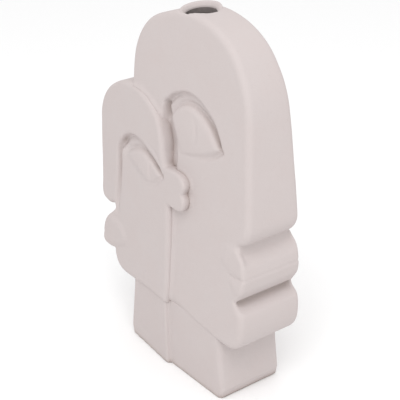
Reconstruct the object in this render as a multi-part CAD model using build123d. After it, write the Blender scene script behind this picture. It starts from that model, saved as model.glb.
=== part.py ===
from build123d import *
from math import radians, tan
import os

# A free-standing clay vase in the form of two stylised heads in profile, one tall and one small. It is built
# as a potter builds it, from face slabs, bent strips, rolls and pads of clay that are luted together with slip.
# Millimetres. +X runs along the faces towards the tall head's nose, +Z is up and the front is -Y. The origin
# is on the underside of the foot, on the centre line of the tall head's arch. The back mirrors the front.

# Tall head
tall_height = 300.0
tall_half_width = 72.7
tall_crown_rise = 63.6
tall_top_half_depth = 16.3
tall_slope = 0.0615
tall_wall = 5.0
tall_edge_round = 4.6
tall_fullness = 0.61
crown_wall = 6.0
chin_shelf = 6.0
jaw_height = 58.5

# Small head, which leans on the tall one and turns away from it by small_turn degrees
small_height = 234.0
small_half_width = 52.0
small_centre = -69.0
small_crown_rise = 46.0
small_jaw_half_depth = 35.3
small_slope = 0.05
small_turn = 5.0
small_wall = 5.0
small_edge_round = 4.2
small_fullness = 0.536
party_wall = 5.5

# Neck and foot
neck_step = 1.25
neck_right_top = 53.6
neck_right_foot = 54.8
neck_left_top = -69.5
neck_left_foot = -76.5
neck_seam_offset = 14.0
small_neck_step = 2.0
neck_wall = 6.0
neck_edge_round = 4.5
neck_seam_round = 2.0
foot_thickness = 7.0

# Mouth
mouth_radius = 11.7
mouth_centre = -5.6
collar_wall = 3.3
collar_rise = 1.6
collar_drop = 8.0
collar_round = 1.2

# Relief on the faces
lip_proud = 0.9
lip_round = 3.4
small_lip_proud = 1.4
small_lip_round = 4.0
slot_depth = 9.0
slot_floor_wall = 4.5
slot_floor_margin = 5.0
socket_depth = 3.2
lid_drop = 1.3
ball_proud = 0.9
ball_round = 1.8
groove_depth = 2.6
ear_seat = 4.0
ear_round = 2.0

# Outlines as shares: across from the head's centre line over its half width, and up over its height
nose_shares = ((1.092, 0.529), (1.084, 0.506), (1.043, 0.487), (0.993, 0.476), (0.955, 0.4645))
chin_notch_shares = ((0.955, 0.3225), (0.955, 0.2950), (1.065, 0.3120), (1.065, 0.2690))
chin_under_shares = ((1.065, 0.2690), (1.065, 0.2250), (0.977, 0.1950), (0.825, 0.1950))
upper_lip_shares = ((0.955, 0.4645), (0.990, 0.4535), (1.036, 0.4425), (1.070, 0.4250), (1.080, 0.4067),
                    (1.066, 0.3910))
parting_shares = ((1.066, 0.3910), (0.989, 0.3893), (0.828, 0.3860), (0.720, 0.3930))
upper_lip_end_shares = ((0.720, 0.3930), (0.612, 0.4065), (0.588, 0.4250), (0.640, 0.4520), (0.770, 0.4660),
                        (0.955, 0.4645))
lower_lip_shares = ((1.066, 0.3910), (1.078, 0.3810), (1.078, 0.3680), (1.050, 0.3520), (1.000, 0.3370),
                    (0.955, 0.3225))
lower_lip_end_shares = ((0.955, 0.3225), (0.860, 0.3340), (0.795, 0.3520), (0.775, 0.3710), (0.828, 0.3890))
lower_lip_over_share = (0.950, 0.4050)
tall_hollow_shares = ((0.990, 0.545), (0.965, 0.520), (0.850, 0.490), (0.850, 0.300), (0.960, 0.285),
                      (0.975, 0.262), (0.955, 0.236))
tall_hollow_corner_share = 0.880
eye_shares = ((-0.340, 0.7000), (-0.317, 0.7560), (-0.278, 0.7763), (-0.175, 0.7920),
              (-0.073, 0.8017), (0.045, 0.8033), (0.162, 0.7983), (0.297, 0.7873), (0.398, 0.7743),
              (0.484, 0.7503), (0.556, 0.7203), (0.600, 0.6900))
eye_under_shares = ((0.600, 0.6900), (0.440, 0.6690), (0.280, 0.6530), (0.120, 0.6430), (-0.110, 0.6350))
eye_corner_share = (-0.340, 0.6350)
ball_shares = ((-0.217, 0.7307), (-0.150, 0.7447), (-0.065, 0.7570), (0.036, 0.7667), (0.136, 0.7687),
               (0.237, 0.7630), (0.322, 0.7513), (0.392, 0.7333), (0.444, 0.7170), (0.510, 0.6900))
ball_under_shares = ((0.510, 0.6900), (0.420, 0.6705), (0.280, 0.6570), (0.120, 0.6480), (-0.070, 0.6420))
ball_left_shares = ((-0.070, 0.6420), (-0.110, 0.6700), (-0.155, 0.6960), (-0.217, 0.7307))
slot_shares = ((-0.110, 0.5800), (-0.100, 0.6050), (-0.105, 0.6430), (-0.128, 0.6770), (-0.168, 0.6970),
               (-0.232, 0.7190), (-0.275, 0.7450), (-0.292, 0.7690), (-0.347, 0.7613), (-0.380, 0.7457),
               (-0.500, 0.7150))
slot_corner_share = (-0.500, 0.5800)
ear_upper_shares = ((-0.259, 0.5900), (-0.100, 0.5930), (0.040, 0.5920), (0.110, 0.5850), (0.150, 0.5690),
                    (0.135, 0.5520), (0.100, 0.5410))
ear_lower_shares = ((0.100, 0.5410), (0.150, 0.5330), (0.156, 0.5180), (0.120, 0.5000), (0.030, 0.4910),
                    (-0.186, 0.4900))

# The same for the small head
small_nose_shares = ((-1.000, 0.5450), (-0.975, 0.5080), (-0.920, 0.4900), (-0.830, 0.4840), (-0.650, 0.4850),
                     (-0.522, 0.4770))
small_chin_shares = ((-0.522, 0.3200), (-0.522, 0.2710), (-0.404, 0.2500), (-0.180, 0.2500))
small_lips_shares = ((-0.520, 0.4750), (-0.700, 0.4480), (-0.830, 0.4190), (-0.925, 0.3800), (-0.935, 0.3420),
                     (-0.870, 0.3180), (-0.700, 0.3110), (-0.440, 0.3200), (-0.210, 0.3600), (-0.125, 0.4020),
                     (-0.200, 0.4380), (-0.330, 0.4590))
small_side_shares = ((1.020, 0.7350), (1.110, 0.6300), (1.135, 0.5000), (1.130, 0.3700))
small_side_end_share = 1.060
small_hollow_shares = ((-0.865, 0.5350), (-0.380, 0.5100), (-0.380, 0.3000))
small_hollow_corner_share = -0.300
small_eye_shares = ((-0.354, 0.6450), (-0.400, 0.6750), (-0.417, 0.7085), (-0.365, 0.7500), (-0.250, 0.7750),
                    (-0.056, 0.7987), (0.163, 0.8060), (0.410, 0.8080), (0.650, 0.7980), (0.829, 0.7765),
                    (0.919, 0.7480), (0.950, 0.7260))
small_eye_under_shares = ((0.950, 0.7260), (0.835, 0.6950), (0.598, 0.6620), (0.415, 0.6450), (0.000, 0.6350),
                          (-0.354, 0.6450))
small_ball_shares = ((-0.200, 0.6900), (-0.154, 0.7210), (-0.025, 0.7406), (0.163, 0.7607), (0.350, 0.7730),
                     (0.533, 0.7710), (0.683, 0.7540), (0.773, 0.7363), (0.860, 0.7100))
small_ball_under_shares = ((0.860, 0.7100), (0.780, 0.6920), (0.580, 0.6680), (0.400, 0.6540), (0.080, 0.6460),
                           (-0.140, 0.6560), (-0.200, 0.6900))
groove_shares = ((-0.354, 0.6450), (-0.300, 0.6450), (-0.325, 0.5200), (-0.350, 0.5200))

# Places where one strip ends and the next begins, as shares of the head's height
nose_strip_low_share = 0.4600
chin_strip_high_share = 0.3370
small_nose_strip_low_share = 0.4300
small_chin_strip_high_share = 0.3600

overrun = 2.0
touch = 0.01
reach = 2 * tall_height

# Places worked out from the sizes above
tall_spring_height = tall_height - tall_crown_rise
small_spring_height = small_height - small_crown_rise
neck_half_depth = tall_top_half_depth + tall_slope * (tall_height - jaw_height) - neck_step
small_neck_half_depth = small_jaw_half_depth - small_neck_step
neck_seam = -neck_seam_offset

# Planes of the faces, each with its normal pointing out of the front
turn_slope = tan(radians(small_turn))
tall_face = Plane(origin=(0, -tall_top_half_depth, tall_height), z_dir=(0, -1, tall_slope))
small_face = Plane(origin=(neck_seam, -small_jaw_half_depth, jaw_height), z_dir=(-turn_slope, -1, small_slope))
tall_neck_face = Plane(origin=(neck_seam, -neck_half_depth, 0), z_dir=(0, -1, 0))
small_neck_face = Plane(origin=(neck_seam, -small_neck_half_depth, 0), z_dir=(-turn_slope, -1, 0))


def tall_spots(shares):
    """Points of a table of shares on the tall head."""
    return [(across * tall_half_width, up * tall_height) for across, up in shares]


def small_spots(shares):
    """Points of a table of shares on the small head."""
    return [(small_centre + across * small_half_width, up * small_height) for across, up in shares]


def curve(spots, start=None, end=None):
    """A smooth curve through the points, with its end directions given or left free."""
    if start is None:
        return Spline(*spots)
    return Spline(*spots, tangents=[start, end])


def arch(centre, half_width, spring, rise, fullness):
    """The round top of a head, as two curves from its right spring to its left one."""
    left = centre - half_width
    right = centre + half_width
    top = spring + rise
    lift = spring + fullness * rise
    reach_out = fullness * half_width
    return [
        Bezier((right, spring), (right, lift), (centre + reach_out, top), (centre, top)),
        Bezier((centre, top), (centre - reach_out, top), (left, lift), (left, spring)),
    ]


def prism(*edges):
    """A solid through the whole depth from a closed outline seen from the front."""
    return extrude(Plane.XZ * make_face(list(edges)), amount=reach, both=True)


def band(face, low, high):
    """The space between two planes parallel to a face, low and high millimetres out from it."""
    return face * Pos(0, 0, (low + high) / 2) * Box(2 * reach, 2 * reach, high - low)


def between(face, offset):
    """The space from a face to its mirror image at the back, grown outwards by offset."""
    front = band(face, -reach, offset)
    return front & mirror(front, about=Plane.XZ)


def zone(left, right, low, high):
    """A block through the whole depth, bounded in X and Z."""
    return Pos((left + right) / 2, 0, (low + high) / 2) * Box(right - left, 2 * reach, high - low)


def on_face(solid, face, offset):
    """The edges of a solid that lie in the plane offset millimetres out from a face."""
    return solid.edges().filter_by(lambda edge: abs(face.to_local_coords(edge.center()).Z - offset) < touch)


def at_back(solid):
    """The same piece on the other side of the vase."""
    return mirror(solid, about=Plane.XZ)


def tall_outline():
    """The tall head seen from the front, with the lips left straight."""
    spring_right = (tall_half_width, tall_spring_height)
    spring_left = (-tall_half_width, tall_spring_height)
    nose = tall_spots(nose_shares)
    notch = tall_spots(chin_notch_shares)
    under = tall_spots(chin_under_shares)
    cheek = (nose[0][0] - spring_right[0], nose[0][1] - spring_right[1])
    return arch(0, tall_half_width, tall_spring_height, tall_height - tall_spring_height, tall_fullness) + [
        Line(spring_right, nose[0]),
        curve(nose, cheek, (0, -1)),
        Line(nose[-1], notch[0]),
        Bezier(*notch),
        Bezier(*under),
        Line(under[-1], (-tall_half_width, jaw_height)),
        Line((-tall_half_width, jaw_height), spring_left),
    ]


def tall_hollow():
    """The space inside the tall head, which opens into the neck."""
    half = tall_half_width - crown_wall
    shelf = jaw_height + chin_shelf
    right = tall_spots(tall_hollow_shares)
    neck_inside = neck_right_top - neck_wall
    path = [(half, tall_spring_height)] + right
    path += [(tall_hollow_corner_share * tall_half_width, shelf), (neck_inside, shelf)]
    path += [(neck_inside, jaw_height - overrun), (-half, jaw_height - overrun), (-half, tall_spring_height)]
    rise = tall_height - crown_wall - tall_spring_height
    return prism(*arch(0, half, tall_spring_height, rise, tall_fullness), Polyline(*path))


def small_outline():
    """The small head seen from the front, with the mouth left straight."""
    left = small_centre - small_half_width
    right = small_centre + small_half_width
    nose = small_spots(small_nose_shares)
    chin = small_spots(small_chin_shares)
    side = [(right, small_spring_height)] + small_spots(small_side_shares)
    side.append((small_centre + small_side_end_share * small_half_width, jaw_height))
    bridge = (nose[0][0] - left, nose[0][1] - small_spring_height)
    rise = small_height - small_spring_height
    return arch(small_centre, small_half_width, small_spring_height, rise, small_fullness) + [
        Line((left, small_spring_height), nose[0]),
        curve(nose, bridge, (0, -1)),
        Line(nose[-1], chin[0]),
        Bezier(*chin),
        Line(chin[-1], side[-1]),
        curve(list(reversed(side)), (1, 2), (0, 1)),
    ]


def small_hollow():
    """The space inside the small head, which opens into the neck."""
    half = small_half_width - crown_wall
    left = small_centre - half
    right = small_centre + small_half_width - party_wall
    shelf = jaw_height + chin_shelf
    side = [(x - party_wall, z) for x, z in small_spots(small_side_shares)]
    side_end = small_centre + small_side_end_share * small_half_width - party_wall
    neck_inside = neck_left_top + neck_wall
    path = [(left, small_spring_height)] + small_spots(small_hollow_shares)
    path += [(small_centre + small_hollow_corner_share * small_half_width, shelf), (neck_inside, shelf)]
    path += [(neck_inside, jaw_height - overrun), (side_end, jaw_height - overrun), (side_end, jaw_height)]
    path += list(reversed(side)) + [(right, small_spring_height), (left + 2 * half, small_spring_height)]
    rise = small_height - crown_wall - small_spring_height
    return prism(*arch(small_centre, half, small_spring_height, rise, small_fullness), Polyline(*path))


def neck_outline(inset):
    """The neck seen from the front, drawn in at both sides by inset."""
    return Polyline(
        (neck_left_foot + inset, 0),
        (neck_right_foot - inset, 0),
        (neck_right_top - inset, jaw_height),
        (neck_left_top + inset, jaw_height),
        close=True,
    )


# Shapes that several pieces share
small_head = prism(*small_outline())
tall_inside = tall_hollow() & between(tall_face, -tall_wall)
small_inside = small_hollow() & between(small_face, -small_wall)
collar_hole = Pos(mouth_centre, 0, tall_height) * Cylinder(mouth_radius + collar_wall, 2 * collar_drop)

eye_corner = tall_spots([eye_corner_share])[0]
eye = prism(
    curve(tall_spots(eye_shares)),
    curve(tall_spots(eye_under_shares)),
    Polyline(tall_spots(eye_under_shares)[-1], eye_corner, tall_spots(eye_shares)[0]),
)
ball = prism(
    curve(tall_spots(ball_shares)),
    curve(tall_spots(ball_under_shares)),
    curve(tall_spots(ball_left_shares)),
)
slot_corner = tall_spots([slot_corner_share])[0]
slot = prism(
    curve(tall_spots(slot_shares)),
    Polyline(tall_spots(slot_shares)[-1], slot_corner, tall_spots(slot_shares)[0]),
)
upper_lip_form = prism(
    curve(tall_spots(upper_lip_shares)),
    curve(tall_spots(parting_shares)),
    curve(tall_spots(upper_lip_end_shares)),
)
lower_lip_over = tall_spots([lower_lip_over_share])[0]
lower_lip_form = prism(
    curve(tall_spots(lower_lip_shares)),
    curve(tall_spots(lower_lip_end_shares)),
    Polyline(tall_spots(lower_lip_end_shares)[-1], lower_lip_over, tall_spots(lower_lip_shares)[0]),
) - upper_lip_form
small_eye = prism(curve(small_spots(small_eye_shares)), curve(small_spots(small_eye_under_shares)))
small_ball = prism(curve(small_spots(small_ball_shares)), curve(small_spots(small_ball_under_shares)))
small_lips_form = prism(Spline(*small_spots(small_lips_shares), periodic=True))
groove = prism(Polyline(*small_spots(groove_shares), close=True))


def tall_ring():
    """What stands between the tall head's two flat walls: strip all round, still in one."""
    ring = prism(*tall_outline()) & between(tall_face, -tall_wall)
    return ring - tall_hollow() - small_head - collar_hole


def small_ring():
    """What stands between the small head's two flat walls."""
    return prism(*small_outline()) & between(small_face, -small_wall) - small_hollow()


def rounded_rim(slab, face, radius):
    """Rounds a flat wall's outer edge, all but its straight foot at the jaw."""
    rim = on_face(slab, face, 0).filter_by(lambda edge: edge.center().Z > jaw_height + touch)
    return fillet(rim, radius)


def tall_front():
    """The flat front wall of the tall head, with the eye socket and the slot, whose floor is behind it."""
    wall = rounded_rim(prism(*tall_outline()) & band(tall_face, -tall_wall, 0), tall_face, tall_edge_round)
    left, low = slot_corner
    right = slot_shares[1][0] * tall_half_width + slot_floor_margin
    high = slot_shares[7][1] * tall_height + slot_floor_margin
    floor = zone(left, right, low - slot_floor_margin, high)
    wall += floor & band(tall_face, -slot_depth - slot_floor_wall, -tall_wall)
    wall -= eye & band(tall_face, -socket_depth, overrun)
    wall -= slot & band(tall_face, -slot_depth, overrun)
    for other in (small_head, upper_lip_form, lower_lip_form, collar_hole):
        wall -= other
    return wall


def small_front():
    """The flat front wall of the small head, with its eye socket and the groove beside the nose."""
    wall = rounded_rim(prism(*small_outline()) & band(small_face, -small_wall, 0), small_face, small_edge_round)
    wall -= small_eye & band(small_face, -socket_depth, overrun)
    wall -= groove & band(small_face, -groove_depth, overrun)
    return wall - small_lips_form


def eyelid(socket, eyeball, face):
    """The sunk rim of an eye, between the socket's edge and the eyeball."""
    return (socket & band(face, -socket_depth, -lid_drop)) - eyeball


def eyeball(form, face):
    """A low lens that stands a little proud of the face."""
    lens = form & band(face, -socket_depth, ball_proud)
    return fillet(on_face(lens, face, ball_proud), ball_round)


def ear():
    """Two lobes at the foot of the slot, from the tall head's wall out to the level of the small head's face."""
    upper = tall_spots(ear_upper_shares)
    lower = tall_spots(ear_lower_shares)
    form = prism(curve(upper), curve(lower), Line(lower[-1], upper[0]))
    lobes = form & band(tall_face, -ear_seat, reach) & band(small_face, -reach, 0)
    rim = on_face(lobes, small_face, 0).filter_by(lambda edge: edge.geom_type != GeomType.LINE)
    return fillet(rim, ear_round) - small_wall_piece - small_strip - tall_wall_piece


def wrapped_roll(form, face, proud, inside, radius):
    """A mouth roll that wraps round a head's edge from the front to the back, rounded at both faces."""
    roll = form & between(face, proud)
    roll = fillet(on_face(roll, face, proud), radius)
    back_rim = on_face(at_back(roll), face, proud)
    return fillet(back_rim, radius) - inside


def neck_plate(face, left, right):
    """A flat wall of the neck on the front."""
    return prism(neck_outline(0)) & band(face, -neck_wall, 0) & zone(left, right, 0, jaw_height)


def neck_side(face, left, right):
    """A wall of the neck between its front and back plates."""
    shell = prism(neck_outline(0)) - prism(neck_outline(neck_wall))
    return shell & between(face, -neck_wall) & zone(left, right, 0, jaw_height)


def neck_floor(face, left, right):
    """The foot's floor under one part of the neck."""
    return prism(neck_outline(neck_wall)) & between(face, -neck_wall) & zone(left, right, 0, foot_thickness)


parts = {}

# Foot and neck
parts["foot_plate"] = neck_floor(small_neck_face, -reach, neck_seam) + neck_floor(tall_neck_face, neck_seam, reach)
tall_plate = neck_plate(tall_neck_face, neck_seam, reach)
tall_plate = fillet(on_face(tall_plate, tall_neck_face, 0).sort_by(Axis.X)[-1], neck_edge_round)
small_plate = neck_plate(small_neck_face, -reach, neck_seam)
small_plate = fillet(on_face(small_plate, small_neck_face, 0).sort_by(Axis.X)[0], neck_edge_round)
small_plate = fillet(on_face(small_plate, small_neck_face, 0).sort_by(Axis.X)[-1], neck_seam_round)
parts["tall_neck_front"] = tall_plate
parts["tall_neck_back"] = at_back(tall_plate)
parts["small_neck_front"] = small_plate
parts["small_neck_back"] = at_back(small_plate)
parts["neck_nose_side"] = neck_side(tall_neck_face, 0, reach)
parts["neck_small_side"] = neck_side(small_neck_face, -reach, neck_seam)

# Tall head
ring = tall_ring()
tall_wall_piece = tall_front()
parts["tall_front_wall"] = tall_wall_piece
parts["tall_back_wall"] = at_back(tall_wall_piece)
parts["tall_crown_strip_left"] = ring & zone(-reach, mouth_centre, 0, reach)
parts["tall_crown_strip_right"] = ring & zone(mouth_centre, reach, tall_spring_height, reach)
nose_low = nose_strip_low_share * tall_height
parts["tall_nose_strip"] = (ring & zone(0, reach, nose_low, tall_spring_height)) - upper_lip_form
chin_high = chin_strip_high_share * tall_height
parts["tall_chin_strip"] = (ring & zone(0, reach, 0, chin_high)) - lower_lip_form
parts["tall_upper_lip"] = wrapped_roll(upper_lip_form, tall_face, lip_proud, tall_inside, lip_round)
parts["tall_lower_lip"] = wrapped_roll(lower_lip_form, tall_face, lip_proud, tall_inside, lip_round)
mouth = Cylinder(mouth_radius + collar_wall, collar_drop + collar_rise) - Cylinder(mouth_radius, reach)
mouth = fillet(mouth.faces().sort_by(Axis.Z)[-1].edges(), collar_round)
parts["mouth_collar"] = Pos(mouth_centre, 0, tall_height + (collar_rise - collar_drop) / 2) * mouth

# Small head
small_strip = small_ring()
small_wall_piece = small_front()
small_nose_low = small_nose_strip_low_share * small_height
small_chin_high = small_chin_strip_high_share * small_height
parts["small_front_wall"] = small_wall_piece
parts["small_back_wall"] = at_back(small_wall_piece)
parts["small_crown_strip"] = small_strip & zone(-reach, 0, small_spring_height, reach)
neck_edge = neck_left_top + neck_wall
parts["party_wall"] = small_strip & zone(neck_edge, 0, 0, small_spring_height)
nose_zone = zone(-reach, small_centre, small_nose_low, small_spring_height)
parts["small_nose_strip"] = (small_strip & nose_zone) - small_lips_form
parts["small_chin_strip"] = (small_strip & zone(-reach, neck_edge, 0, small_chin_high)) - small_lips_form
parts["small_lips"] = wrapped_roll(small_lips_form, small_face, small_lip_proud, small_inside, small_lip_round)

# Eyes and ears
front_eyes = {
    "tall_{}_eyelid": eyelid(eye, ball, tall_face) - slot - small_head,
    "tall_{}_eyeball": eyeball(ball, tall_face) - slot - small_head,
    "small_{}_eyelid": eyelid(small_eye, small_ball, small_face),
    "small_{}_eyeball": eyeball(small_ball, small_face),
    "{}_ear": ear(),
}
for name, piece in front_eyes.items():
    parts[name.format("front")] = piece
    parts[name.format("back")] = at_back(piece)

os.makedirs("parts", exist_ok=True)
for name, piece in parts.items():
    export_step(piece, os.path.join("parts", name + ".step"))
    print(name, round(piece.volume), "mm3")
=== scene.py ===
# %% [markdown]
# # A two-headed clay vase
# The real object is a matte, unglazed vase built by hand from clay slabs, strips and rolls. Its CAD model has
# every one of those as a crisp piece. Here Blender gives them what the potter's sponge gives: soft edges,
# blended joints, carved eyes and the fine grain of bisque clay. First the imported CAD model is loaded.

# %% Load the CAD model
import math
import bmesh
import bpy
import numpy as np
from mathutils import Matrix, Vector
from mathutils.bvhtree import BVHTree


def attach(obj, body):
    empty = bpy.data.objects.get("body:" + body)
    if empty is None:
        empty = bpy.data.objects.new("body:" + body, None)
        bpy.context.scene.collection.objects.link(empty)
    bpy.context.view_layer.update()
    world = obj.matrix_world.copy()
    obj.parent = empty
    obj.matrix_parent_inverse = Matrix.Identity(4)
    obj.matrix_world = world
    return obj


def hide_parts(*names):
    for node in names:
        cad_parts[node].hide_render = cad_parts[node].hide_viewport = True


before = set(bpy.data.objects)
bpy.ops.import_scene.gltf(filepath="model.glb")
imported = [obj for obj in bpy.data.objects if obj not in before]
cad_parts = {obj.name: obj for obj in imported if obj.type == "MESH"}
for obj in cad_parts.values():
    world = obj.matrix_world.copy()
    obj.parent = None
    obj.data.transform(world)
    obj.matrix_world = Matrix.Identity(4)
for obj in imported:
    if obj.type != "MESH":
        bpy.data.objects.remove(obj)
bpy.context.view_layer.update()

# %% [markdown]
# The camera stands where the photographer's did: a little above the vase and well round to its right, so
# that the nose and the edge of the crown come towards us. Its numbers were solved from the vase's own edges.

# %% Camera
MM = 0.001
FRAME_PIXELS = 400
FOCAL_PIXELS = 1068.4
SENSOR_WIDTH = 36.0
CAMERA_DISTANCE = 844.9
azimuth = math.radians(53.07)
pitch = math.radians(25.66)
roll = math.radians(-0.90)
target = Vector((-10.585, 0, 142.918)) * MM
back = Vector((math.sin(azimuth) * math.cos(pitch), -math.cos(azimuth) * math.cos(pitch), math.sin(pitch)))
camera_data = bpy.data.cameras.new("camera")
camera_data.sensor_width = SENSOR_WIDTH
camera_data.lens = FOCAL_PIXELS * SENSOR_WIDTH / FRAME_PIXELS
camera_data.clip_start = 0.01
camera = bpy.data.objects.new("camera", camera_data)
bpy.context.scene.collection.objects.link(camera)
level_right = Vector((math.cos(azimuth), math.sin(azimuth), 0))
level_up = back.cross(level_right)
right = level_right * math.cos(roll) + level_up * math.sin(roll)
up = level_up * math.cos(roll) - level_right * math.sin(roll)
place = target + back * CAMERA_DISTANCE * MM
camera.matrix_world = Matrix((
    (right.x, up.x, back.x, place.x),
    (right.y, up.y, back.y, place.y),
    (right.z, up.z, back.z, place.z),
    (0, 0, 0, 1),
))
bpy.context.scene.camera = camera
print("camera", round(camera_data.lens, 2), "mm lens at", tuple(round(v, 4) for v in place))

# %% [markdown]
# The photograph has no set, only white paper and soft light from all round. Three lamps would leave three
# shadows, so a bright white world does most of the work instead, and one broad lamp high on the right makes
# the tops a little lighter than the faces.

# %% White room and one broad lamp
ROOM_STRENGTH = 0.95
LAMP_PLACE = (0.75, -0.65, 1.5)
LAMP_AIM = (0, 0, 0.15)
LAMP_SIDE = 0.9
LAMP_WATTS = 11

world = bpy.data.worlds.new("white_room")
bpy.context.scene.world = world
world.use_nodes = True
background = world.node_tree.nodes["Background"]
background.inputs["Color"].default_value = (1, 1, 1, 1)
background.inputs["Strength"].default_value = ROOM_STRENGTH
lamp_data = bpy.data.lights.new("broad_lamp", "AREA")
lamp_data.size = LAMP_SIDE
lamp_data.energy = LAMP_WATTS
lamp = bpy.data.objects.new("broad_lamp", lamp_data)
bpy.context.scene.collection.objects.link(lamp)
lamp.location = LAMP_PLACE
lamp.rotation_euler = (Vector(LAMP_AIM) - Vector(LAMP_PLACE)).to_track_quat("-Z", "Y").to_euler()
bpy.context.scene.view_settings.view_transform = "Standard"
print("room strength", ROOM_STRENGTH, "and a lamp of", LAMP_WATTS, "watts")

# %% [markdown]
# The floor is a sheet of matte, pale paper. It is staged, which means that it belongs to the picture and not
# to the vase. It runs far enough for its edge to stay out of this camera's view.

# %% Floor
FLOOR_HALF_SIDE = 4
PAPER = (0.94, 0.94, 0.94, 1)

floor_mesh = bmesh.new()
bmesh.ops.create_grid(floor_mesh, x_segments=1, y_segments=1, size=FLOOR_HALF_SIDE)
floor_data = bpy.data.meshes.new("floor")
floor_mesh.to_mesh(floor_data)
floor_mesh.free()
floor = bpy.data.objects.new("floor", floor_data)
bpy.context.scene.collection.objects.link(floor)
floor_look = bpy.data.materials.new("white_paper")
floor_look.use_nodes = True
paper_shader = floor_look.node_tree.nodes["Principled BSDF"]
paper_shader.inputs["Base Color"].default_value = PAPER
paper_shader.inputs["Roughness"].default_value = 0.9
floor_data.materials.append(floor_look)
print("floor", tuple(floor.dimensions))

# %% [markdown]
# Bisque clay is matt, a little pink and never quite even: it shows a fine grain, faint clouds from the
# sponge and a few dark specks. Rounded edges are also painted paler as a highlight, and grooves darker as
# shade. Those effects are node groups, made once with named sockets, so that the body and the inside of the
# stem opening, painted dark as shade, can share them. A few helpers keep the groups short to write.

# %% Helpers for node groups
COLOUR = "NodeSocketColor"
VALUE = "NodeSocketFloat"
SPOT = "NodeSocketVector"


def effect(name, inputs, outputs):
    """An empty node group with named sockets."""
    group = bpy.data.node_groups.new(name, "ShaderNodeTree")
    for label, kind in inputs:
        group.interface.new_socket(label, in_out="INPUT", socket_type=kind)
    for label, kind in outputs:
        group.interface.new_socket(label, in_out="OUTPUT", socket_type=kind)
    return group, group.nodes.new("NodeGroupInput"), group.nodes.new("NodeGroupOutput")


def noise(tree, spot, scale, detail):
    """A noise value on a place socket. The scale is in blots per metre."""
    texture = tree.nodes.new("ShaderNodeTexNoise")
    texture.inputs["Scale"].default_value = scale
    texture.inputs["Detail"].default_value = detail
    tree.links.new(spot, texture.inputs["Vector"])
    return texture.outputs["Fac"]


def ramped(tree, value, low, high):
    """A value stretched so that low becomes 0 and high becomes 1."""
    stretch = tree.nodes.new("ShaderNodeMapRange")
    stretch.inputs["From Min"].default_value = low
    stretch.inputs["From Max"].default_value = high
    tree.links.new(value, stretch.inputs["Value"])
    return stretch.outputs["Result"]


def mixed(tree, share, first, second):
    """A colour between two others, by a share socket. Inputs 6 and 7 of a Mix node are its two colours."""
    mix = tree.nodes.new("ShaderNodeMix")
    mix.data_type = "RGBA"
    tree.links.new(share, mix.inputs["Factor"])
    for value, socket in ((first, mix.inputs[6]), (second, mix.inputs[7])):
        if isinstance(value, tuple):
            socket.default_value = value
        else:
            tree.links.new(value, socket)
    return mix.outputs[2]


def times(tree, value, factor):
    """A value made larger or smaller."""
    scale = tree.nodes.new("ShaderNodeMath")
    scale.operation = "MULTIPLY"
    scale.inputs[1].default_value = factor
    tree.links.new(value, scale.inputs[0])
    return scale.outputs[0]


def added(tree, first, second):
    """Two values added."""
    total = tree.nodes.new("ShaderNodeMath")
    tree.links.new(first, total.inputs[0])
    tree.links.new(second, total.inputs[1])
    return total.outputs[0]


print("socket kinds", COLOUR, VALUE, SPOT)

# %% [markdown]
# The colour starts from the body clay. Clouds and specks are mixed in, then a paler tone, a painted
# highlight, where the mesh says that an edge stands out, and last a warmer, darker tone, painted shade,
# where ambient occlusion finds the clay in a groove or corner.

# %% Colour of the clay
CLOUDED_CLAY = (0.54, 0.468, 0.455, 1)
SPECK = (0.38, 0.32, 0.29, 1)
# How far the ambient occlusion looks round for the painted shade in grooves.
SHADE_REACH = 8 * MM

bisque_colour, colour_in, colour_out = effect(
    "bisque_colour",
    [("Place", SPOT), ("Body", COLOUR), ("Painted_highlight", COLOUR), ("Painted_shade", COLOUR)],
    [("Colour", COLOUR)],
)
clouds = noise(bisque_colour, colour_in.outputs["Place"], 45.0, 4.0)
cloud_share = times(bisque_colour, ramped(bisque_colour, clouds, 0.35, 0.7), 0.3)
clouded = mixed(bisque_colour, cloud_share, colour_in.outputs["Body"], CLOUDED_CLAY)
specks = noise(bisque_colour, colour_in.outputs["Place"], 900.0, 2.0)
speck_share = times(bisque_colour, ramped(bisque_colour, specks, 0.69, 0.74), 0.25)
specked = mixed(bisque_colour, speck_share, clouded, SPECK)
# Edges that stand out are painted paler: a painted highlight.
edge_highlight = bisque_colour.nodes.new("ShaderNodeAttribute")
edge_highlight.attribute_name = "edge_highlight"
highlight_share = times(bisque_colour, edge_highlight.outputs["Fac"], 0.6)
highlighted = mixed(bisque_colour, highlight_share, specked, colour_in.outputs["Painted_highlight"])
# Grooves and corners are painted warmer and darker: painted shade, found by ambient occlusion.
shade_probe = bisque_colour.nodes.new("ShaderNodeAmbientOcclusion")
shade_probe.samples = 8
shade_probe.inputs["Distance"].default_value = SHADE_REACH
open_sky = ramped(bisque_colour, shade_probe.outputs["AO"], 0.1, 0.8)
shaded_colour = mixed(bisque_colour, open_sky, colour_in.outputs["Painted_shade"], highlighted)
bisque_colour.links.new(shaded_colour, colour_out.inputs["Colour"])
print("group", bisque_colour.name, "with", len(bisque_colour.nodes), "nodes")

# %% [markdown]
# The grain is too fine to model, so it is a height for the bump and a dullness for the roughness. One part is
# as fine as sand, and the other as broad as the pores of a sponge.

# %% Grain of the clay
SPONGE_HEIGHT = 1.6

clay_grain, grain_in, grain_out = effect(
    "clay_grain", [("Place", SPOT)], [("Height", VALUE), ("Dullness", VALUE)],
)
sand = noise(clay_grain, grain_in.outputs["Place"], 1500.0, 3.0)
sponge = noise(clay_grain, grain_in.outputs["Place"], 160.0, 2.0)
grain_height = added(clay_grain, sand, times(clay_grain, sponge, SPONGE_HEIGHT))
clay_grain.links.new(grain_height, grain_out.inputs["Height"])
clay_grain.links.new(ramped(clay_grain, sponge, -3.2, 1.4), grain_out.inputs["Dullness"])
print("group", clay_grain.name, "with", len(clay_grain.nodes), "nodes")

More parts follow.
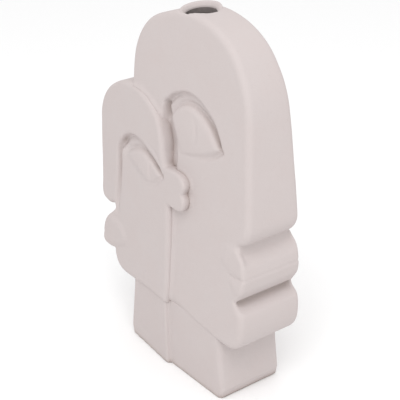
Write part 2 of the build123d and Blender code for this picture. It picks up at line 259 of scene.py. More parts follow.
# %% [markdown]
# The groups go into two materials. The body is pale bisque. The inside of the stem opening is the same
# clay, but painted much darker, as painted shade for the deep bore.

# %% Bisque and the painted shade inside the stem opening
# How much paler the painted highlight on edges is.
HIGHLIGHT_PALER = 1.06
BUMP_STRENGTH = 0.35
BUMP_HEIGHT = 0.4 * MM


def bisque(name, body, painted_shade_tone):
    """A matt clay material with the shared grain and clouds, painted highlights and painted shade."""
    look = bpy.data.materials.new(name)
    look.use_nodes = True
    tree = look.node_tree
    shader = tree.nodes["Principled BSDF"]
    where = tree.nodes.new("ShaderNodeTexCoord")
    colour = tree.nodes.new("ShaderNodeGroup")
    colour.node_tree = bisque_colour
    colour.inputs["Body"].default_value = body
    # The paler edge colour is a painted highlight.
    colour.inputs["Painted_highlight"].default_value = tuple(min(1, part * HIGHLIGHT_PALER) for part in body[:3]) + (1,)
    # The groove colour is painted shade.
    colour.inputs["Painted_shade"].default_value = painted_shade_tone
    grain = tree.nodes.new("ShaderNodeGroup")
    grain.node_tree = clay_grain
    bump = tree.nodes.new("ShaderNodeBump")
    bump.inputs["Strength"].default_value = BUMP_STRENGTH
    bump.inputs["Distance"].default_value = BUMP_HEIGHT
    tree.links.new(where.outputs["Object"], colour.inputs["Place"])
    tree.links.new(where.outputs["Object"], grain.inputs["Place"])
    tree.links.new(colour.outputs["Colour"], shader.inputs["Base Color"])
    tree.links.new(grain.outputs["Height"], bump.inputs["Height"])
    tree.links.new(bump.outputs["Normal"], shader.inputs["Normal"])
    tree.links.new(grain.outputs["Dullness"], shader.inputs["Roughness"])
    shader.inputs["Specular IOR Level"].default_value = 0.25
    return look


# The last colour of each material is the painted shade in its grooves.
clay_look = bisque("bisque_clay", (0.55, 0.493, 0.484, 1), (0.29, 0.222, 0.19, 1))
# The stem opening's inside is painted dark all over, as shade in the deep bore.
bore_shade_look = bisque("stem_opening_painted_shade", (0.16, 0.14, 0.135, 1), (0.05, 0.045, 0.04, 1))
print("materials", clay_look.name, bore_shade_look.name)

# %% [markdown]
# The potter's sponge softens every joint. To do the same, copies of the touching CAD pieces are swollen a
# hair so that they overlap, and a voxel Remesh turns them into one closed skin. A Boolean union would keep
# every edge crisp, and a remesh of loose pieces would leave cracks. A short Smooth then rounds what is left.

# %% Blend touching pieces into one skin
VOXEL = 0.9 * MM
SWELL = 0.04 * MM
SAME_SPOT = 1e-6


def joined_copy(name, nodes):
    """One object that holds merged, slightly swollen copies of CAD nodes."""
    joined = bmesh.new()
    for node in nodes:
        one = bmesh.new()
        one.from_mesh(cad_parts[node].data)
        bmesh.ops.remove_doubles(one, verts=one.verts, dist=SAME_SPOT)
        one.normal_update()
        for vertex in one.verts:
            vertex.co += vertex.normal * SWELL
        step = bpy.data.meshes.new("step")
        one.to_mesh(step)
        one.free()
        joined.from_mesh(step)
        bpy.data.meshes.remove(step)
    data = bpy.data.meshes.new(name)
    joined.to_mesh(data)
    joined.free()
    piece = bpy.data.objects.new(name, data)
    bpy.context.scene.collection.objects.link(piece)
    return piece


def reskinned(piece, voxel, smoothing):
    """Gives a piece an even closed skin of small faces, and smooths it a few times."""
    remesh = piece.modifiers.new("one skin", "REMESH")
    remesh.mode = "VOXEL"
    remesh.voxel_size = voxel
    soften = piece.modifiers.new("soften", "SMOOTH")
    soften.factor = 0.5
    soften.iterations = smoothing
    graph = bpy.context.evaluated_depsgraph_get()
    skin = bpy.data.meshes.new_from_object(piece.evaluated_get(graph))
    rough = piece.data
    piece.modifiers.clear()
    piece.data = skin
    bpy.data.meshes.remove(rough)
    skin.name = piece.name
    print(piece.name, len(skin.vertices), "vertices")
    return piece


print("voxels of", VOXEL / MM, "mm over solids swollen by", SWELL / MM, "mm")

# %% [markdown]
# The tall head is two slabs with bent strips between them, two lip rolls and the pads of its eyes. All of
# them go into one skin, front and back together.

# %% Tall head's skin
TALL_NODES = [
    "tall_front_wall", "tall_back_wall", "tall_crown_strip_left", "tall_crown_strip_right", "tall_nose_strip",
    "tall_chin_strip", "tall_upper_lip", "tall_lower_lip", "tall_front_eyelid", "tall_back_eyelid",
    "tall_front_eyeball", "tall_back_eyeball",
]
tall_head = reskinned(joined_copy("tall_head", TALL_NODES), VOXEL, 4)

# %% [markdown]
# The eyes, the soft grooves and the lips are pressed and smoothed by hand on the real vase. Here they are
# pressed in with a few brushes. Each brush moves the points of the skin by a smooth amount that depends on
# how far a point lies inside an outline or from a line on the face, much as a sculpting brush does, but
# with numbers that can be read and changed. All brushes work in millimetres.

# %% Points of a piece
def points_of(piece):
    """All points of a piece, as an array in millimetres."""
    flat = np.empty(len(piece.data.vertices) * 3)
    piece.data.vertices.foreach_get("co", flat)
    return flat.reshape(-1, 3) / MM


def put_back(piece, points):
    """Gives a piece its moved points."""
    piece.data.vertices.foreach_set("co", (points * MM).ravel())
    piece.data.update()


print("tall head from", points_of(tall_head).min(0).round(1), "to", points_of(tall_head).max(0).round(1))

# %% [markdown]
# An outline or a groove is drawn with a few corners and a smooth line through them. The brushes then need
# two measures: how far a spot is from that line, and whether it lies inside. A soft step turns either into
# a slope without a crease.

# %% Soft steps, outlines and grooves
RUNS_PER_CORNER = 6


def soft_step(value, width):
    """0 below zero and 1 past the width, with a smooth ramp between."""
    share = np.clip(value / width, 0, 1)
    return share * share * (3 - 2 * share)


def smooth_line(corners, closed):
    """A Catmull-Rom line through a few corners, as many short runs."""
    corners = np.array(corners, float)
    if closed:
        spots = np.concatenate([corners[-1:], corners, corners[:2]])
    else:
        spots = np.concatenate([corners[:1], corners, corners[-1:]])
    share = np.linspace(0, 1, RUNS_PER_CORNER, endpoint=False)[:, None]
    runs = []
    for a, b, c, d in zip(spots, spots[1:], spots[2:], spots[3:]):
        runs.append(0.5 * (2 * b + (c - a) * share + (2 * a - 5 * b + 4 * c - d) * share**2
                           + (3 * b - 3 * c + d - a) * share**3))
    if not closed:
        runs.append(corners[-1:])
    return np.concatenate(runs)


def away_from(spots, line):
    """Distance of each spot from a line, and how far along the line its nearest place is, 0 to 1."""
    starts, steps = line[:-1], np.diff(line, axis=0)
    offset = spots[:, None, :] - starts[None]
    along = np.clip((offset * steps).sum(2) / (steps**2).sum(1), 0, 1)
    gap = np.hypot(*np.moveaxis(offset - along[..., None] * steps, 2, 0))
    nearest = gap.argmin(1)
    row = np.arange(len(spots))
    return gap[row, nearest], (nearest + along[row, nearest]) / len(steps)


def within(spots, outline):
    """Distance of each spot inside a closed outline, below zero outside it."""
    line = smooth_line(outline, True)
    line = np.concatenate([line, line[:1]])
    gap = away_from(spots, line)[0]
    x, z = spots.T
    inside = np.zeros(len(spots), bool)
    for (ax, az), (bx, bz) in zip(line, line[1:]):
        if az != bz:
            crossing = ((az > z) != (bz > z)) & (x < (bx - ax) * (z - az) / (bz - az) + ax)
            inside ^= crossing
    return np.where(inside, gap, -gap)


def groove(spots, corners, width, depths):
    """The depth of a soft round groove along a line, with depths at even places along it."""
    gap, along = away_from(spots, smooth_line(corners, False))
    depth = np.interp(along, np.linspace(0, 1, len(depths)), depths)
    return depth * (1 - soft_step(gap, width))


print("a soft step over 10 mm, at each quarter", soft_step(np.array([2.5, 5, 7.5]), 10).round(2))

# %% [markdown]
# The faces lean: both heads are thinner at the crown than at the jaw, and the small head is turned a little
# as well. A relief is measured from those leaning planes. The sizes below are the CAD model's own.

# %% Planes of the faces
JAW = 58.5
TALL_TOP = 300
TALL_TOP_HALF_DEPTH = 16.3
TALL_SLOPE = 0.0615
SMALL_JAW_HALF_DEPTH = 35.3
SMALL_SLOPE = 0.05
SMALL_TURN = math.radians(5)
SEAM = -14


def tall_face(x, z):
    """Distance of the tall head's faces from the middle plane, the same at every x."""
    return TALL_TOP_HALF_DEPTH + TALL_SLOPE * (TALL_TOP - z)


def small_face(x, z):
    """Distance of the small head's faces from the middle plane."""
    return SMALL_JAW_HALF_DEPTH - SMALL_SLOPE * (z - JAW) + (x - SEAM) * math.tan(SMALL_TURN)


def face_height(points, face):
    """How proud of its face each point is, on the front and the back alike."""
    return np.abs(points[:, 1]) - face(points[:, 0], points[:, 2])


def set_height(points, chosen, face, height):
    """Puts the chosen points at a height over their face."""
    x, y, z = points[chosen].T
    points[chosen, 1] = np.sign(y) * (face(x, z) + height)


print("tall head's depth", round(2 * tall_face(0, TALL_TOP), 1), "at the top and",
      round(2 * tall_face(0, JAW), 1), "mm at the jaw")

# %% [markdown]
# The crisp CAD reliefs have straight walls, which no sponge leaves and which can't be softened enough. So
# the face is first levelled inside an outline, and the soft relief is pressed into the level face. The
# slab is only 5 mm thick, so where a relief is more than 1.5 mm deep, the slab's inner side moves in with
# it, as pressed clay does. A ray from each point tells the outer side from the inner one. Points that stand
# too proud of the face or lie too deep under it belong to something else and stay.

# %% Press a relief into a face
CLEAR_OF_SKIN = 0.1 * MM
RAY_LENGTH = 60 * MM
TOO_PROUD = 3
TOO_DEEP = -8
EDGE_FADE = 3
SPARE_CLAY = 1.5


def press_face(piece, points, face, outline, reach, relief):
    """Levels what the CAD has inside an outline, presses a relief in, and moves the wall's inside alike."""
    put_back(piece, points)
    tree = BVHTree.FromObject(piece, bpy.context.evaluated_depsgraph_get())
    height = face_height(points, face)
    low, high = np.min(outline, 0), np.max(outline, 0)
    x, z = points[:, 0], points[:, 2]
    beside = (x > low[0]) & (x < high[0]) & (z > low[1]) & (z < high[1])
    near = np.flatnonzero(beside & (height > -reach) & (height < TOO_PROUD))
    open_side = np.zeros(len(near), bool)
    for row, spot in enumerate(near):
        vertex = piece.data.vertices[spot]
        outward = Vector((0, math.copysign(1, vertex.co.y), 0))
        start = vertex.co + vertex.normal * CLEAR_OF_SKIN
        open_side[row] = tree.ray_cast(start, outward, RAY_LENGTH)[0] is None
    spots = points[near][:, (0, 2)]
    share = soft_step(within(spots, outline), EDGE_FADE)
    pressed = relief(spots)
    outer_height = height[near] * (1 - share) + pressed * share
    inner_height = height[near] + np.minimum(pressed + SPARE_CLAY, 0) * share
    inner_height = np.where(height[near] < TOO_DEEP, height[near], inner_height)
    set_height(points, near, face, np.where(open_side, outer_height, inner_height))
    print(piece.name, int(open_side.sum()), "points pressed, deepest", round(float(pressed.min()), 1), "mm")


print("a pressed relief fades out over", EDGE_FADE, "mm at its edge")

# %% [markdown]
# The tall eye is a shallow socket under a lid, with a bulging eyeball, and a soft hollow runs down beside it
# to the ear. These are the outlines, as places across and up the face.

# %% Outlines of the tall head's eye and hollow
tall_lid = [(-27.5, 223), (-25, 227.7), (-21.3, 231.8), (-16.3, 235.6), (-8.9, 238.9), (-1.6, 241.2),
            (5.8, 241.7), (14.3, 240.2), (22.8, 236.6), (31.4, 230.8), (37.7, 224.4), (41.6, 218),
            (44, 212.8), (43.4, 208.3), (37.8, 204.2), (29.8, 199.6), (20.4, 195.9), (10.8, 193.4),
            (0.9, 192), (-7, 192), (-12, 200)]
tall_ball = [(-16.9, 217.3), (-13.3, 223.1), (-7.2, 228), (0.2, 230.9), (6.9, 231.7), (13.7, 230.2),
             (19.8, 227.8), (26, 223.9), (31.6, 219.5), (36, 214.7), (40, 210.4), (43, 207.9), (37.8, 204.2),
             (29.8, 199.6), (20.4, 195.9), (10.8, 192.9), (0.9, 190.9), (-6.8, 190.8), (-8.1, 192.8),
             (-9, 198.9), (-11.2, 204.7), (-14, 210.2)]
tall_hollow = [(-23.5, 230), (-19.6, 221.3), (-16.8, 216.5), (-14, 210.2), (-11.2, 204.7), (-8.7, 196.6),
               (-7.3, 189), (-7.6, 180.8), (-10, 174.2), (-15, 170.5), (-22, 171), (-29, 185), (-30.5, 202),
               (-29, 216), (-27.5, 226)]
tall_relief = [(-46, 222), (-36, 238), (-16, 242), (6, 247), (26, 242), (42, 228), (52, 208), (38, 197),
               (14, 188), (-2, 184), (-4, 170), (-12, 160), (-24, 160), (-36, 190)]
print("corners of the tall eye's outlines", [len(outline) for outline in (tall_lid, tall_ball, tall_hollow)])

# %% [markdown]
# The lid is pressed flat and a little deeper than the face, with its deepest line under the brow. The hollow
# runs deeper still and fades towards the ear. The eyeball rises out of the socket with a faint round groove
# for the iris, and a narrow groove parts it from the lid.

# %% Tall head's eye and hollow
TALL_LID_DEPTH = 3.2
TALL_HOLLOW_DEPTH = 6.4
TALL_EYE_MIDDLE = (10, 211)


def tall_eye(spots):
    """Height of the lid, the eyeball and the hollow beside it, over the face."""
    x, z = spots.T
    lid = -TALL_LID_DEPTH * soft_step(within(spots, tall_lid) + 0.5, 3.2)
    deeper_upwards = 0.4 + 0.6 * soft_step(z - 170, 26)
    hollow = -TALL_HOLLOW_DEPTH * soft_step(within(spots, tall_hollow), 3.6) * deeper_upwards
    brow = groove(spots, [(-25, 214), (-25.5, 222), (-19.5, 229.5), (-8, 236), (6, 239), (22, 234),
                          (36.5, 222.5)], 3.6, [2.0, 2.2, 1.6, 0.8, 0.3, 0.1, 0])
    ground = np.minimum(lid, hollow) - brow
    in_ball = within(spots, tall_ball)
    bulge = np.exp(-((x - TALL_EYE_MIDDLE[0]) / 20) ** 2 - ((z - TALL_EYE_MIDDLE[1]) / 15) ** 2)
    iris = groove(spots, [(9, 226), (14, 222), (15.5, 214), (14, 206), (8, 201)], 2.6, [0, 0.5, 0.8, 0.6, 0])
    dome = -0.8 + 1.3 * soft_step(in_ball, 4) + 1.3 * bulge - iris
    dome *= soft_step(x + 8 + 0.9 * (z - 192), 14)
    over_ball = soft_step(in_ball + 0.8, 1.8)
    rim = groove(spots, [(-13, 224), (-4, 230.8), (7, 232.9), (20, 229.2), (32.6, 220.8), (41.4, 211.4),
                         (45, 207.6)], 3.0, [0.4, 0.8, 1.3, 1.8, 2.6, 2.8, 1.6])
    under = groove(spots, [(45, 207.6), (38.4, 202.6), (30, 198), (20, 194), (12, 191.5)],
                   3.0, [2.6, 2.4, 1.5, 0.6, 0])
    return ground * (1 - over_ball) + dome * over_ball - rim - under


middle_height, hollow_height = tall_eye(np.array([TALL_EYE_MIDDLE, (-20, 200)]))
print("eyeball's middle at", round(middle_height, 2), "mm and the hollow at", round(hollow_height, 2), "mm")

# %% [markdown]
# Under the nose and under the lower lip the strip is pressed in deeply with a round tool, and between the
# lips there is only a fine line in a shallow dip. At their ends the lips swell out of the face without an
# edge.

# %% Tall head's lips
UNDER_NOSE = (139.2, 6.5, 2.9)
UNDER_LOWER_LIP = (97.0, 2.8, 4.9)
PARTING = 117.3
upper_lip_end = [(56, 143), (51, 137), (48.5, 127), (52, 120.5), (60, 117.5), (80, 117.5), (80, 140),
                 (66, 143)]
lower_lip_end = [(60, 114.5), (61, 108), (65, 102), (72, 99), (82, 99), (82, 115.5), (68, 116.5)]


def pressed_tall_lips(points):
    """Presses the grooves under the nose and the lower lip, and softens the ends of the lips."""
    x, z = points[:, 0], points[:, 2]
    height = face_height(points, tall_face)
    ends = (x > 40) & (x < 90) & (z > 90) & (z < 148) & (height > 0)
    chosen = np.flatnonzero(ends)
    spots = points[chosen][:, (0, 2)]
    swelling = 0.6 * soft_step(within(spots, upper_lip_end), 6)
    swelling += 0.7 * soft_step(within(spots, lower_lip_end), 6)
    set_height(points, chosen, tall_face, np.minimum(height[chosen], swelling))
    across = soft_step(-face_height(points, tall_face) - 0.6, 5)
    right_side = soft_step(x - 52, 10)
    for top, slope, depth in (UNDER_NOSE, UNDER_LOWER_LIP):
        press = soft_step(top + 1.0 - z, slope) * (1 - soft_step(top + 1.0 - slope - z, 10))
        points[:, 0] -= depth * press * across * right_side
    parting = 1.6 * np.exp(-((z - PARTING) / 3.2) ** 2) - 0.9 * np.exp(-((z - PARTING) / 1.1) ** 2)
    points[:, 0] += parting * right_side
    print("lip ends softened at", len(chosen), "points")


print("grooves at", UNDER_NOSE[0], "and", UNDER_LOWER_LIP[0], "mm up, parting at", PARTING, "mm")

# %% [markdown]
# The tall head ends where the small one leans on it. On the real vase that edge lies hidden in the joint. It
# is drawn a few millimetres in under the small head, so that no gap is left.

# %% Tuck the tall head's edge under the small head
DRAWN_IN = 8.5
SMALL_HEAD_MIDDLE = np.array((-72, 165))
small_edge = [(-10, 58), (-11.5, 90), (-12, 120), (-12, 150), (-14, 175), (-17, 190), (-23, 206), (-34, 221),
              (-48, 230), (-66, 234), (-84, 232), (-100, 240), (-110, 60)]


def tuck_under(points):
    """Draws the edge that meets the small head in towards its middle, most where the two touch."""
    x, z = points[:, 0], points[:, 2]
    near = np.flatnonzero((x < 14) & (z > 56) & (z < 262))
    outside = -within(points[near][:, (0, 2)], small_edge)
    draw = DRAWN_IN * (1 - soft_step(outside, 24)) * soft_step(z[near] - 56, 12)
    way = SMALL_HEAD_MIDDLE - points[near][:, (0, 2)]
    way /= np.hypot(*way.T)[:, None]
    points[near[:, None], (0, 2)] += way * draw[:, None]
    print("tucked in by up to", round(float(draw.max()), 1), "mm")


print("the small head's edge has", len(small_edge), "corners")

# %% [markdown]
# The slabs and strips of the real vase were bent by eye, so its outline wanders by a millimetre or two. At a
# few heights the left and the right edge of a head therefore move a little, and all between moves with them.

# %% Nudge an outline
def nudge_across(points, left, right, moves):
    """Moves points sideways by rows of a height and the left and the right edge's moves, shared between."""
    heights, left_moves, right_moves = np.transpose(moves)
    x, z = points[:, 0], points[:, 2]
    share = np.clip((x - left) / (right - left), 0, 1)
    at_left = np.interp(z, heights, left_moves)
    at_right = np.interp(z, heights, right_moves)
    points[:, 0] += at_left * (1 - share) + at_right * share


TALL_NUDGES = [
    (50, 0, 0.5), (84, 0, -0.5), (95, 0, 0), (110, 0, -1.9), (121, 0, -2), (135, 0, -1.8), (142, 0, -1.4),
    (180, 0, 0.2), (200, 0.3, 0.4), (221, 1.2, 0.9), (235, 2.2, 0.8), (255, 1.9, -0.8), (270, 1.3, -1.9),
    (300, 0, 0),
]
print("the tall head's outline moves by up to", np.abs(np.array(TALL_NUDGES)[:, 1:]).max(), "mm")

# %% [markdown]
# Now the tall head's skin is shaped in the order in which a potter would work: first the outline, then the
# eyes, then the lips. The crown also sinks a little left of the stem opening, and the chin hangs lower. A
# second Remesh evens out the faces that the brushes have stretched.

# %% Shape the tall head
MOUTH_DROP = 1.8
TALL_CHIN_DROP = 5.6
RESMOOTHING = 3

tall_points = points_of(tall_head)
nudge_across(tall_points, -72, 72, TALL_NUDGES)
left_of_mouth = np.exp(-((tall_points[:, 0] + 30) / 14) ** 2) * soft_step(tall_points[:, 2] - 270, 20)
tall_points[:, 2] -= MOUTH_DROP * left_of_mouth
tuck_under(tall_points)
chin = soft_step(tall_points[:, 0] + 5, 60) * (1 - soft_step(tall_points[:, 2] - 58, 32))
tall_points[:, 2] -= TALL_CHIN_DROP * chin
press_face(tall_head, tall_points, tall_face, tall_relief, 10.5, tall_eye)
pressed_tall_lips(tall_points)
put_back(tall_head, tall_points)
reskinned(tall_head, VOXEL, RESMOOTHING)

# %% [markdown]
# The small head is made the same way. It leans on the tall one, so its skin also takes the two ears, which
# grow out of its edge. Beside its nose a long groove comes down from the lid.

# %% Small head's skin
SMALL_NODES = [
    "small_front_wall", "small_back_wall", "small_crown_strip", "party_wall", "small_nose_strip",
    "small_chin_strip", "small_lips", "small_front_eyelid", "small_back_eyelid", "small_front_eyeball",
    "small_back_eyeball", "front_ear", "back_ear",
]
small_head = reskinned(joined_copy("small_head", SMALL_NODES), VOXEL, 4)

# %% [markdown]
# The small eye is cut as the tall one is, but it looks the other way, and its lid runs on into the groove
# beside the nose. Its mouth is one oval swelling.

# %% Outlines of the small head's eye and mouth
small_lid = [(-89.9, 158), (-88.5, 168), (-85.9, 176.1), (-79.1, 183.2), (-70.7, 186.8), (-60.9, 188),
             (-50.5, 186), (-40.2, 182.4), (-30.9, 178.2), (-23.1, 173.5), (-20.2, 169.4), (-24, 165),
             (-34, 158), (-46, 153), (-60, 152), (-76, 156)]
small_ball = [(-77.5, 166.5), (-73, 171.5), (-66.6, 175.2), (-56.4, 178.8), (-46.5, 179), (-37, 175.6),
              (-29.2, 171.5), (-21.8, 168.4), (-24.5, 165), (-31.5, 159.6), (-42.2, 153.9), (-54, 151),
              (-66, 153), (-74, 158.5)]
small_relief = [(-97, 108), (-97, 170), (-90, 186), (-74, 193), (-58, 194), (-40, 189), (-24, 181),
                (-15, 170), (-24, 158), (-44, 146), (-62, 141), (-78, 138), (-84, 108)]
small_mouth = [(-124, 104), (-104, 106), (-92, 105), (-80, 99), (-75, 91.5), (-79, 82.5), (-92, 74),
               (-110, 70), (-128, 72)]
print("corners of the small outlines", [len(outline) for outline in (small_lid, small_ball, small_mouth)])

# %% [markdown]
# Lid, eyeball and groove fade out towards the cheek, where the potter's thumb has wiped the socket's lower
# edge away.

# %% Small head's eye and groove
SMALL_LID_DEPTH = 3.0
SMALL_EYE_MIDDLE = (-52, 166)


def small_eye(spots):
    """Height of the lid, the eyeball and the groove beside the nose, over the face."""
    x, z = spots.T
    under_lid = soft_step(0.37 * (x + 60) + 0.93 * (z - 161) + 3, 9)
    lid = -SMALL_LID_DEPTH * soft_step(within(spots, small_lid) + 0.5, 3.2) * under_lid
    beside_nose = groove(spots, [(-92, 104), (-91.6, 116), (-90.4, 131), (-88.6, 150), (-87.8, 167),
                                 (-83, 175.5), (-75, 182), (-61.5, 185.6), (-48.5, 183), (-35, 177.5)],
                         5.0, [0, 2.0, 3.4, 4.6, 4.8, 3.6, 1.6, 0.6, 0.2, 0])
    in_ball = within(spots, small_ball)
    bulge = np.exp(-((x - SMALL_EYE_MIDDLE[0]) / 17) ** 2 - ((z - SMALL_EYE_MIDDLE[1]) / 11) ** 2)
    dome = -0.8 + 1.3 * soft_step(in_ball, 4) + 1.2 * bulge
    dome *= under_lid
    over_ball = soft_step(in_ball + 0.8, 1.8)
    rim = groove(spots, [(-77, 166), (-67.5, 175), (-56, 178.8), (-46, 178.8), (-36.4, 175.4), (-28.4, 171.4),
                         (-20.5, 167.6)], 3.0, [0.6, 1.0, 1.2, 1.5, 2.0, 2.2, 1.6])
    under = groove(spots, [(-20, 168.4), (-23.4, 163.6), (-31, 157.8), (-42, 152), (-50, 150.4)],
                   3.0, [1.8, 1.7, 1.2, 0.5, 0])
    return (lid - beside_nose) * (1 - over_ball) + dome * over_ball - rim - under


middle_height, groove_height = small_eye(np.array([SMALL_EYE_MIDDLE, (-88.6, 150)]))
print("eyeball's middle at", round(middle_height, 2), "mm and the groove at", round(groove_height, 2), "mm")

# %% [markdown]
# The CAD model's lips and ears stand out with an edge. On the real vase a sponge has taken that edge off, so
# the mouth is lowered to a soft swelling, and the ears are bedded in the small head's face.

# %% Small head's mouth and ears
SMALL_MOUTH_SWELLING = 1.8
EAR_HEIGHT = 0.25


def softened_small_mouth(points):
    """Makes the end of the small head's lips a soft swelling, and beds the ears in the face beside them."""
    height = face_height(points, small_face)
    x, z = points[:, 0], points[:, 2]
    mouth = (x < -68) & (z > 62) & (z < 112) & (height > -0.2)
    chosen = np.flatnonzero(mouth)
    swelling = SMALL_MOUTH_SWELLING * soft_step(within(points[chosen][:, (0, 2)], small_mouth), 9)
    set_height(points, chosen, small_face, np.minimum(height[chosen], swelling))
    ear = (x > -40) & (z > 140) & (z < 186) & (height > 0)
    set_height(points, ear, small_face, np.minimum(height[ear], EAR_HEIGHT))
    print("mouth softened at", len(chosen), "points, ears bedded at", int(ear.sum()))


print("mouth swells by", SMALL_MOUTH_SWELLING, "mm and the ears stand", EAR_HEIGHT, "mm over the face")

# %% [markdown]
# The small head then gets its place in the picture: the crown sinks so that it runs in under the tall head,
# the chin hangs a little lower, and the edge beside the tall eye's hollow is drawn back.

# %% Shape the small head
SMALL_CROWN_DROP = 5.2
SMALL_CHIN_DROP = 3.0
SMALL_NUDGES = [
    (55, -2.5, 0), (71, -3.9, 0), (77, -1.4, 0), (82, 0.9, 0), (88, 0.6, 0), (95, 0.4, 0), (103, 0.6, 0),
    (110, -1.8, 0), (118, -1.4, 0), (130, 0, 0), (150, -0.2, 0), (165, -0.7, 0), (200, -0.8, 0),
    (208, -1.2, 0), (215, -1.6, 0), (232, 0, 0),
]
HOLLOW_EDGE_NUDGES = [(176, 0, 0), (188, 0, -3.2), (200, 0, -3.8), (215, 0, -3.2), (232, 0, 0)]

small_points = points_of(small_head)
small_points[:, 2] -= SMALL_CROWN_DROP * soft_step(small_points[:, 2] - 182, 56)
press_face(small_head, small_points, small_face, small_relief, 8, small_eye)
softened_small_mouth(small_points)
small_left = 1 - soft_step(small_points[:, 0] + 105, 20)
small_points[:, 2] -= 1.8 * small_left * np.exp(-((small_points[:, 2] - 111) / 10) ** 2)
small_points[:, 2] -= 1.3 * small_left * np.exp(-((small_points[:, 2] - 74) / 6) ** 2)
nudge_across(small_points, -120, -30, SMALL_NUDGES)
nudge_across(small_points, -34, -20, HOLLOW_EDGE_NUDGES)
small_chin = (1 - soft_step(small_points[:, 0] + 85, 50)) * (1 - soft_step(small_points[:, 2] - 55, 22))
small_points[:, 2] -= SMALL_CHIN_DROP * small_chin
put_back(small_head, small_points)
reskinned(small_head, VOXEL, RESMOOTHING)

# %% [markdown]
# Where the small head lies on the tall one, the potter fills the corner with slip and wipes it. The tall
# head's skin is raised towards the small head wherever the two come close, which leaves a soft valley. The
# hollow beside the eye stays clear of it.

# %% Slip in the corner between the heads
SLIP_REACH = 5.0
SLIP_RISE = 1.4
OUTER_SKIN = 4.4


def slip(points, other, reach, rise):
    """Raises the faces under another piece's edge, most where the two touch."""
    tree = BVHTree.FromObject(other, bpy.context.evaluated_depsgraph_get())
    height = face_height(points, tall_face)
    high = points_of(other).max(0) + reach
    near = np.flatnonzero((height > -OUTER_SKIN) & (points[:, 0] < high[0]) & (points[:, 2] < high[2]))
    open_ground = 1 - soft_step(within(points[near][:, (0, 2)], tall_hollow) + 3, 3)
    for spot, share in zip(near, open_ground):
        found = tree.find_nearest(Vector(points[spot]) * MM, reach * MM)
        if found[0] is not None:
            close = 1 - found[3] / (reach * MM)
            points[spot, 1] += math.copysign(share * rise * close * close, points[spot, 1])
    print("slip looked for at", len(near), "points")


tall_points = points_of(tall_head)
slip(tall_points, small_head, SLIP_REACH, SLIP_RISE)
put_back(tall_head, tall_points)

# %% [markdown]
# Rounded edges catch the light, so they are painted paler as a highlight. How far each point stands out from
# its neighbours is kept with the mesh as an attribute, which the bisque material reads to paint those edges
# paler. It is measured before the skins are cut, so that the cut doesn't count as an edge.

# %% Painted highlight on the edges
HIGHLIGHT_ROUNDS = 5


def mark_edge_highlight(piece, low, high):
    """Stores 0 to 1 for how far each point stands out from those around it, from a low to a high in mm."""
    points = points_of(piece)
    ends = np.empty(len(piece.data.edges) * 2, int)
    piece.data.edges.foreach_get("vertices", ends)
    first, second = ends.reshape(-1, 2).T
    normals = np.empty(len(points) * 3)
    piece.data.vertices.foreach_get("normal", normals)
    normals = normals.reshape(-1, 3)
    count = np.bincount(ends, minlength=len(points))[:, None]
    around = points
    for _ in range(HIGHLIGHT_ROUNDS):
        total = np.zeros_like(points)
        for axis in range(3):
            total[:, axis] += np.bincount(first, around[second, axis], len(points))
            total[:, axis] += np.bincount(second, around[first, axis], len(points))
        around = 0.5 * around + 0.5 * total / count
    proud = ((points - around) * normals).sum(1)
    share = np.clip((proud - low) / (high - low), 0, 1)
    # The attribute carries the painted highlight's share to the material.
    layer = piece.data.attributes.new("edge_highlight", "FLOAT", "POINT")
    layer.data.foreach_set("value", share)
    print(piece.name, "mean edge highlight", round(float(share.mean()), 3))


mark_edge_highlight(tall_head, 0.05, 0.3)
mark_edge_highlight(small_head, 0.05, 0.3)

# %% [markdown]
# Clay is fired as one body, but the two heads were made as two hollow forms, each with a front and a back
# slab. The skin of each head is therefore cut at its middle plane into a front and a back piece, and every
# cut is closed with flat faces.

# %% Front and back pieces of the heads
def half_of(piece, name, side):
    """The front (side -1) or back (side 1) half of a piece, capped where it is cut."""
    bm = bmesh.new()
    bm.from_mesh(piece.data)
    whole = bm.verts[:] + bm.edges[:] + bm.faces[:]
    cut = bmesh.ops.bisect_plane(bm, geom=whole, plane_co=(0, 0, 0), plane_no=(0, -side, 0), clear_outer=True)
    rim = [item for item in cut["geom_cut"] if isinstance(item, bmesh.types.BMEdge)]
    for face in bm.faces:
        face.smooth = True
    caps = bmesh.ops.triangle_fill(bm, edges=rim, use_beauty=True)
    for edge in rim:
        edge.smooth = False
    for item in caps["geom"]:
        if isinstance(item, bmesh.types.BMFace):
            item.smooth = False
    bmesh.ops.recalc_face_normals(bm, faces=bm.faces)
    data = bpy.data.meshes.new(name)
    bm.to_mesh(data)
    open_edges = sum(1 for edge in bm.edges if not edge.is_manifold)
    bm.free()
    made = bpy.data.objects.new(name, data)
    bpy.context.scene.collection.objects.link(made)
    data.materials.append(clay_look)
    print(name, sum(len(p.vertices) - 2 for p in data.polygons), "triangles,", open_edges, "open edges")
    return made


def finished(piece, *nodes):
    """Sets a piece on the vase's one body, in place of the CAD nodes that it stands for."""
    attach(piece, "root")
    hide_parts(*nodes)


tall_front = half_of(tall_head, "tall_head_front", -1)
tall_back = half_of(tall_head, "tall_head_back", 1)
bpy.data.objects.remove(tall_head)
small_front = half_of(small_head, "small_head_front", -1)
small_back = half_of(small_head, "small_head_back", 1)
bpy.data.objects.remove(small_head)
finished(tall_front, *[node for node in TALL_NODES if "back" not in node])
finished(tall_back, *[node for node in TALL_NODES if "front" not in node])
finished(small_front, *[node for node in SMALL_NODES if "back" not in node])
finished(small_back, *[node for node in SMALL_NODES if "front" not in node])

# %% [markdown]
# The neck is a box of slabs, set in a little from the faces. Its top edge is drawn up a few millimetres
# behind the heads' round lower edges, so that only a faint line shows between them.

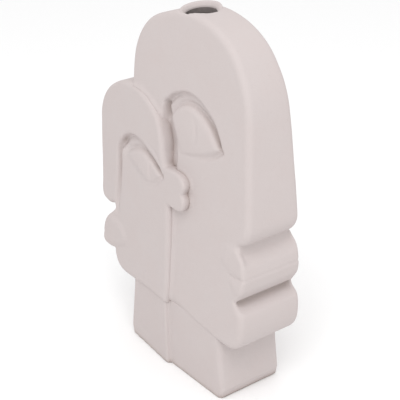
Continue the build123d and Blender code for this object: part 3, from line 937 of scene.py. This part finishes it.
# %% Neck
NECK_NODES = [
    "foot_plate", "tall_neck_front", "tall_neck_back", "small_neck_front", "small_neck_back",
    "neck_nose_side", "neck_small_side",
]
NECK_NUDGES = [(0, 2.0, -2.8), (8, -0.5, -0.6), (30, 0.3, -2.8), (58.5, 1.5, -4.9)]
NECK_RISE = 3.2


def smooth_shaded(piece, *looks):
    """Shades a piece as one round surface, and gives it its materials."""
    for polygon in piece.data.polygons:
        polygon.use_smooth = True
    for look in looks:
        piece.data.materials.append(look)


neck = reskinned(joined_copy("neck", NECK_NODES), VOXEL, 6)
neck_points = points_of(neck)
nudge_across(neck_points, -60, 30, NECK_NUDGES)
neck_points[:, 2] += NECK_RISE * soft_step(neck_points[:, 2] - 50, 9)
put_back(neck, neck_points)
mark_edge_highlight(neck, 0.05, 0.3)
smooth_shaded(neck, clay_look)
finished(neck, *NECK_NODES)

# %% [markdown]
# The opening for stems is a short collar in the crown. Its back edge stands up, its front edge dips into
# the crown, and it flares a little, as a finger leaves it. Its inside is painted dark, as shade in the bore.

# %% Collar of the stem opening
MOUTH_MIDDLE = -5.6
BORE_RADIUS = 11.7
COLLAR_RADIUS = 15
FRONT_DIP = 3.6
FLARE = 2.4
RIGHT_DIP = 2.4
SPREAD = 0.06
DARK_RADIUS = 12.4
DARK_BELOW = 297.5


def towards_front(y):
    """1 at the collar's front edge and 0 at its back edge."""
    return 0.5 - 0.5 * y / COLLAR_RADIUS


collar = reskinned(joined_copy("mouth_collar_skin", ["mouth_collar"]), 0.5 * MM, 3)
collar_points = points_of(collar)
radius = np.hypot(collar_points[:, 0] - MOUTH_MIDDLE, collar_points[:, 1])
upper = soft_step(collar_points[:, 2] - 292, 7)
dip = FRONT_DIP * towards_front(collar_points[:, 1]) + FLARE * (1 - soft_step(radius - BORE_RADIUS, 3.2))
dip += RIGHT_DIP * soft_step(collar_points[:, 0] - MOUTH_MIDDLE, COLLAR_RADIUS)
collar_points[:, 2] -= dip * upper
spread = SPREAD * soft_step(radius - 13.4, 1)
collar_points[:, 0] += (collar_points[:, 0] - MOUTH_MIDDLE) * spread
collar_points[:, 1] *= 1 + spread
put_back(collar, collar_points)
mark_edge_highlight(collar, 0.1, 0.5)
smooth_shaded(collar, clay_look, bore_shade_look)
# Faces deep in the bore take the dark material: painted shade.
for polygon in collar.data.polygons:
    middle = polygon.center / MM
    in_bore = math.hypot(middle.x - MOUTH_MIDDLE, middle.y) < DARK_RADIUS
    if in_bore and middle.z < DARK_BELOW - FRONT_DIP * towards_front(middle.y):
        polygon.material_index = 1
finished(collar, "mouth_collar")
